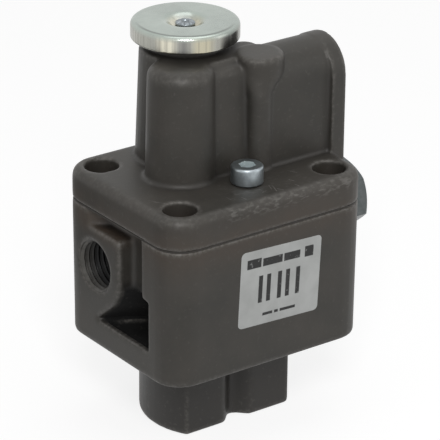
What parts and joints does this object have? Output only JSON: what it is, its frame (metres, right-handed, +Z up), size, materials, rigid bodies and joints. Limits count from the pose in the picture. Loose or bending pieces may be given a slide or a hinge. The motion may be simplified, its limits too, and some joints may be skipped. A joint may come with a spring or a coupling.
{
  "type": "gearbox control valve",
  "caption": "Tappet-operated pneumatic valve: cast lower box with round foot, port and hexagon plug, upper flange with cast tower, side port and capped vent.",
  "frame": {"origin": "middle of the whole valve seen from above, at the end face of the foot", "axes": "+Z up along the tappet and the tower, -Y out of the broad front face, -X out of the face with the lower port"},
  "size_m": [0.076, 0.0514, 0.1068],
  "materials": {
    "cast_alloy": "dark satin casting",
    "zinc_steel": "bright zinc plate",
    "bright_steel": "turned and polished",
    "spring_steel": "oiled wire",
    "brass": "turned",
    "copper": "soft washer",
    "rubber": "matt black"
  },
  "bodies": {
    "valve_body": {"lower_housing": "cast_alloy", "upper_housing": "cast_alloy", "flange_screw": "zinc_steel", "retaining_ring": "spring_steel", "guide_bush": "brass", "valve_seat": "brass", "hex_plug": "zinc_steel", "plug_washer": "copper", "vent_cap": "zinc_steel", "cap_rivet": "zinc_steel", "vent_flap": "rubber", "cap_spacer": "bright_steel", "tappet_spring": "spring_steel", "inlet_spring": "spring_steel", "piston_spring": "spring_steel", "check_spring": "spring_steel", "tappet_seal": "rubber", "seat_seal": "rubber", "joint_seal_chamber": "rubber", "joint_seal_outlet": "rubber"},
    "tappet": {"tappet": "bright_steel"},
    "inlet_valve": {"inlet_valve": "rubber"},
    "relay_piston": {"relay_piston": "bright_steel", "piston_seal": "rubber"},
    "check_valve": {"check_valve": "brass"}
  },
  "joints": [
    {"name": "tappet_slide", "type": "slide", "parent": "valve_body", "child": "tappet", "axis": [0, 0, 1], "range_m": [0, 0.002], "stiffness_N_per_m": 9500, "springref_m": -0.003, "deforming": ["tappet_spring"]},
    {"name": "inlet_valve_slide", "type": "slide", "parent": "valve_body", "child": "inlet_valve", "axis": [0, 0, 1], "range_m": [0, 0.002], "deforming": ["inlet_spring"]},
    {"name": "relay_piston_slide", "type": "slide", "parent": "valve_body", "child": "relay_piston", "axis": [0, 0, 1], "range_m": [0, 0.008], "stiffness_N_per_m": 2500, "springref_m": -0.006, "deforming": ["piston_spring"]},
    {"name": "check_valve_slide", "type": "slide", "parent": "valve_body", "child": "check_valve", "axis": [1, 0, 0], "range_m": [0, 0.003], "stiffness_N_per_m": 400, "springref_m": -0.004, "deforming": ["check_spring"]}
  ],
  "couplings": [
    {"joint": "inlet_valve_slide", "follows": "tappet_slide", "ratio": 1}
  ]
}
